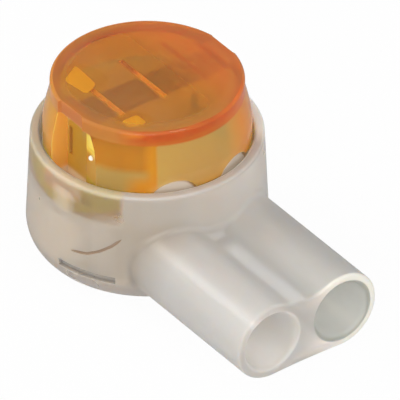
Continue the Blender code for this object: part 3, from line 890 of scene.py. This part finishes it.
def sealing_gel():
    """Silicone sealing gel: clear, soft and slightly yellow, with a wet skin."""
    material, tree = new_material("sealing_gel")
    clear = node(tree, "ShaderNodeBsdfTransparent", inputs={"Color": linear("#f2e9dc")})
    body = node(
        tree,
        "ShaderNodeBsdfPrincipled",
        inputs={"Base Color": linear("#dccebd"), "Roughness": 0.12, "IOR": 1.05},
    )
    mix = node(
        tree,
        "ShaderNodeMixShader",
        inputs={"Fac": 0.8},
        links={1: clear.outputs["BSDF"], 2: body.outputs["BSDF"]},
    )
    node(tree, "ShaderNodeOutputMaterial", links={"Surface": mix.outputs["Shader"]})
    return material


# Pieces


def gel_bulge(side):
    """Gel that has risen into one of the cap's arches: a dome in x and z, wrapped round the skirt's circle.

    The outline lies at y = -sqrt(r^2 - x^2) for each of three radii, and the outermost is a little smaller.
    """
    place, half, foot, middle = side * arch_place, 1.04, 3.9, 5.05
    dome = arc((place, arch_height), half, 0, 180, 24)
    outline = np.concatenate([dome, [(place - half, foot), (place + half, foot)]])
    rings = []
    for radius, shrink in ((4.18, 1.0), (4.58, 1.0), (4.66, 0.95)):
        x, z = ((outline - (place, middle)) * shrink + (place, middle)).T
        rings.append(np.column_stack([x, -np.sqrt(radius**2 - x**2), z]))
    return loft(f"gel_bulge_{side}", rings, mark="gel")


def gel_mesh():
    """A merged copy of the gel's own mesh, with the gel that stands in the arches."""
    mesh = frame["nodes"]["sealant_gel"].data.copy()
    form = bmesh.new()
    form.from_mesh(mesh)
    bmesh.ops.remove_doubles(form, verts=form.verts, dist=1e-6)
    form.to_mesh(mesh)
    form.free()
    mesh.materials.clear()
    body = bpy.data.objects.new("gel_form", mesh)
    bpy.context.scene.collection.objects.link(body)
    return carve(body, [("UNION", gel_bulge(side)) for side in (-1, 1)])


make_piece(
    "housing_shell",
    housing_mesh(),
    "housing",
    "housing_body",
    natural_polypropylene(),
    {
        "skin": (0, 0.20, "#e6dfd6"),
        "wet": (1, 0.08, "#ebe7e3"),
        "bore": (0, 0.35, "#dcdad6"),
        "slot": (0, 0.90, "#b0a9a1"),
        "line": (0, 0.75, "#b0947a"),
    },
    paint_housing,
)
make_piece(
    "cap_moulding",
    cap_mesh(),
    "button_cap",
    "cap_body",
    amber_polycarbonate(),
    {
        "skin": (0, 0.06, "#e0a038"),
        "wet": (1, 0.75, "#ecdfa9"),
        "key": (0, 0.50, "#dcb04c"),
        # A darker face, painted shade
        "shade_slot": (0, 0.90, "#c09450"),
        # A plain white face, a painted highlight
        "glint": (0, 1.00, "#fffbe8"),
        "arch": (1, 0.90, "#eee4e4"),
        "flat": (0, 0.70, "#d4662e"),
        "rib": (1, 0.75, "#cca878"),
        "boss": (1, 0.45, "#f4e6cc"),
        # A bright yellow face, painted light
        "film": (1, 0.97, "#fff868"),
    },
    paint_cap,
)
make_piece("contact_strip", contact_mesh(), "contact", "cap_body", tinned_brass())
gel = make_piece("gel_fill", gel_mesh(), "sealant_gel", "housing_body", sealing_gel())
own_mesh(gel)


# Stage, light and camera


def by_ray(tree, lit, choices):
    """Starts from what lights the object and mixes in what each kind of ray sees instead."""
    path = node(tree, "ShaderNodeLightPath")
    for ray, shader in choices:
        ways = {"Fac": path.outputs[ray], 1: lit, 2: shader}
        lit = node(tree, "ShaderNodeMixShader", links=ways).outputs["Shader"]
    return lit


def floor():
    """A plain white floor that keeps a faint shadow."""
    mesh = bpy.data.meshes.new("floor")
    size, low = 1.5, -0.03 * MM
    corners = [(x * size, y * size, low) for x, y in ((-1, -1), (1, -1), (1, 1), (-1, 1))]
    mesh.from_pydata(corners, [], [(0, 1, 2, 3)])
    plane = bpy.data.objects.new("floor", mesh)
    bpy.context.scene.collection.objects.link(plane)
    material, tree = new_material("white_floor")
    matte = node(tree, "ShaderNodeBsdfDiffuse", inputs={"Color": linear("#f2f2f2")}).outputs["BSDF"]
    white = node(tree, "ShaderNodeEmission", inputs={"Strength": 1.0}).outputs["Emission"]
    dim = node(tree, "ShaderNodeEmission", inputs={"Strength": 0.45}).outputs["Emission"]
    mix = node(tree, "ShaderNodeMixShader", inputs={"Fac": 0.96}, links={1: matte, 2: white})
    part = mix.outputs["Shader"]
    choices = [("Is Glossy Ray", dim), ("Is Transmission Ray", part), ("Is Camera Ray", part)]
    seen = by_ray(tree, matte, choices)
    node(tree, "ShaderNodeOutputMaterial", links={"Surface": seen})
    mesh.materials.append(material)


def world():
    """A pale room that is brighter towards the photographer's left than behind the part.

    The strength runs from the first to the second value with the direction, for what lights the part, what
    its faces mirror and what is seen through them.
    """
    made = bpy.data.worlds.new("studio")
    bpy.context.scene.world = made
    made.use_nodes = True
    tree = made.node_tree
    tree.nodes.clear()
    white = (1.0, 1.0, 1.0, 1.0)
    way = node(tree, "ShaderNodeTexCoord").outputs["Generated"]
    bright = node(
        tree, "ShaderNodeVectorMath", {"operation": "DOT_PRODUCT"}, {1: (-0.50, -0.75, 0.43)}, {0: way}
    ).outputs["Value"]
    rooms = []
    for low, high in ((0.30, 0.85), (0.30, 1.05), (0.55, 1.35)):
        inputs = {"From Min": -1.0, "From Max": 1.0, "To Min": low, "To Max": high}
        strength = node(tree, "ShaderNodeMapRange", None, inputs, {"Value": bright}).outputs["Result"]
        room = node(tree, "ShaderNodeBackground", inputs={"Color": white}, links={"Strength": strength})
        rooms.append(room.outputs["Background"])
    plain = node(tree, "ShaderNodeBackground", inputs={"Color": white, "Strength": 1.0})
    choices = [("Is Glossy Ray", rooms[1]), ("Is Transmission Ray", rooms[2])]
    choices += [("Is Camera Ray", plain.outputs["Background"])]
    node(tree, "ShaderNodeOutputWorld", links={"Surface": by_ray(tree, rooms[0], choices)})


def softbox(name, direction, distance, size, power, turn=0.0):
    """A lamp that faces the object, turned about its own axis by an angle in degrees."""
    middle = Vector((0, -0.003, 0.004))
    lamp = bpy.data.lights.new(name, "AREA")
    lamp.shape = "RECTANGLE"
    lamp.size, lamp.size_y = size
    lamp.energy = power
    obj = bpy.data.objects.new(name, lamp)
    obj.visible_transmission = False
    bpy.context.scene.collection.objects.link(obj)
    way = Vector(direction).normalized()
    obj.location = way * distance + middle
    spin = Matrix.Rotation(math.radians(turn), 4, "Z")
    obj.rotation_euler = (way.to_track_quat("Z", "Y").to_matrix().to_4x4() @ spin).to_euler()


def camera():
    """The photograph's view: azimuth, elevation and distance fitted to the port, rim and plate outlines."""
    azimuth, elevation, roll = math.radians(-36.427), math.radians(36.175), math.radians(0.102)
    aim, distance = Vector((0.445, -3.402, 3.919)) * MM, 0.6461
    back = Vector(
        (
            math.sin(azimuth) * math.cos(elevation),
            -math.cos(azimuth) * math.cos(elevation),
            math.sin(elevation),
        )
    )
    right = Vector((math.cos(azimuth), math.sin(azimuth), 0))
    up = back.cross(right)
    turned_right = right * math.cos(roll) + up * math.sin(roll)
    turned_up = up * math.cos(roll) - right * math.sin(roll)
    data = bpy.data.cameras.new("camera")
    data.sensor_width = 36.0
    data.lens = 1292.1
    data.clip_start = 0.01
    data.clip_end = 10.0
    obj = bpy.data.objects.new("camera", data)
    bpy.context.scene.collection.objects.link(obj)
    turn = Matrix((turned_right, turned_up, back)).transposed().to_4x4()
    obj.matrix_world = Matrix.Translation(aim + back * distance) @ turn
    bpy.context.scene.camera = obj


floor()
world()
softbox("tube_softbox", (-0.44, 0.65, 0.62), 0.35, (0.26, 0.12), 0.26, 52)
softbox("front_softbox", (-0.70, -0.65, 0.30), 0.45, (0.30, 0.24), 0.58)
softbox("root_softbox", (0.05, -0.64, 0.77), 0.40, (0.10, 0.05), 0.22)
camera()
bpy.context.scene.view_settings.view_transform = "Standard"
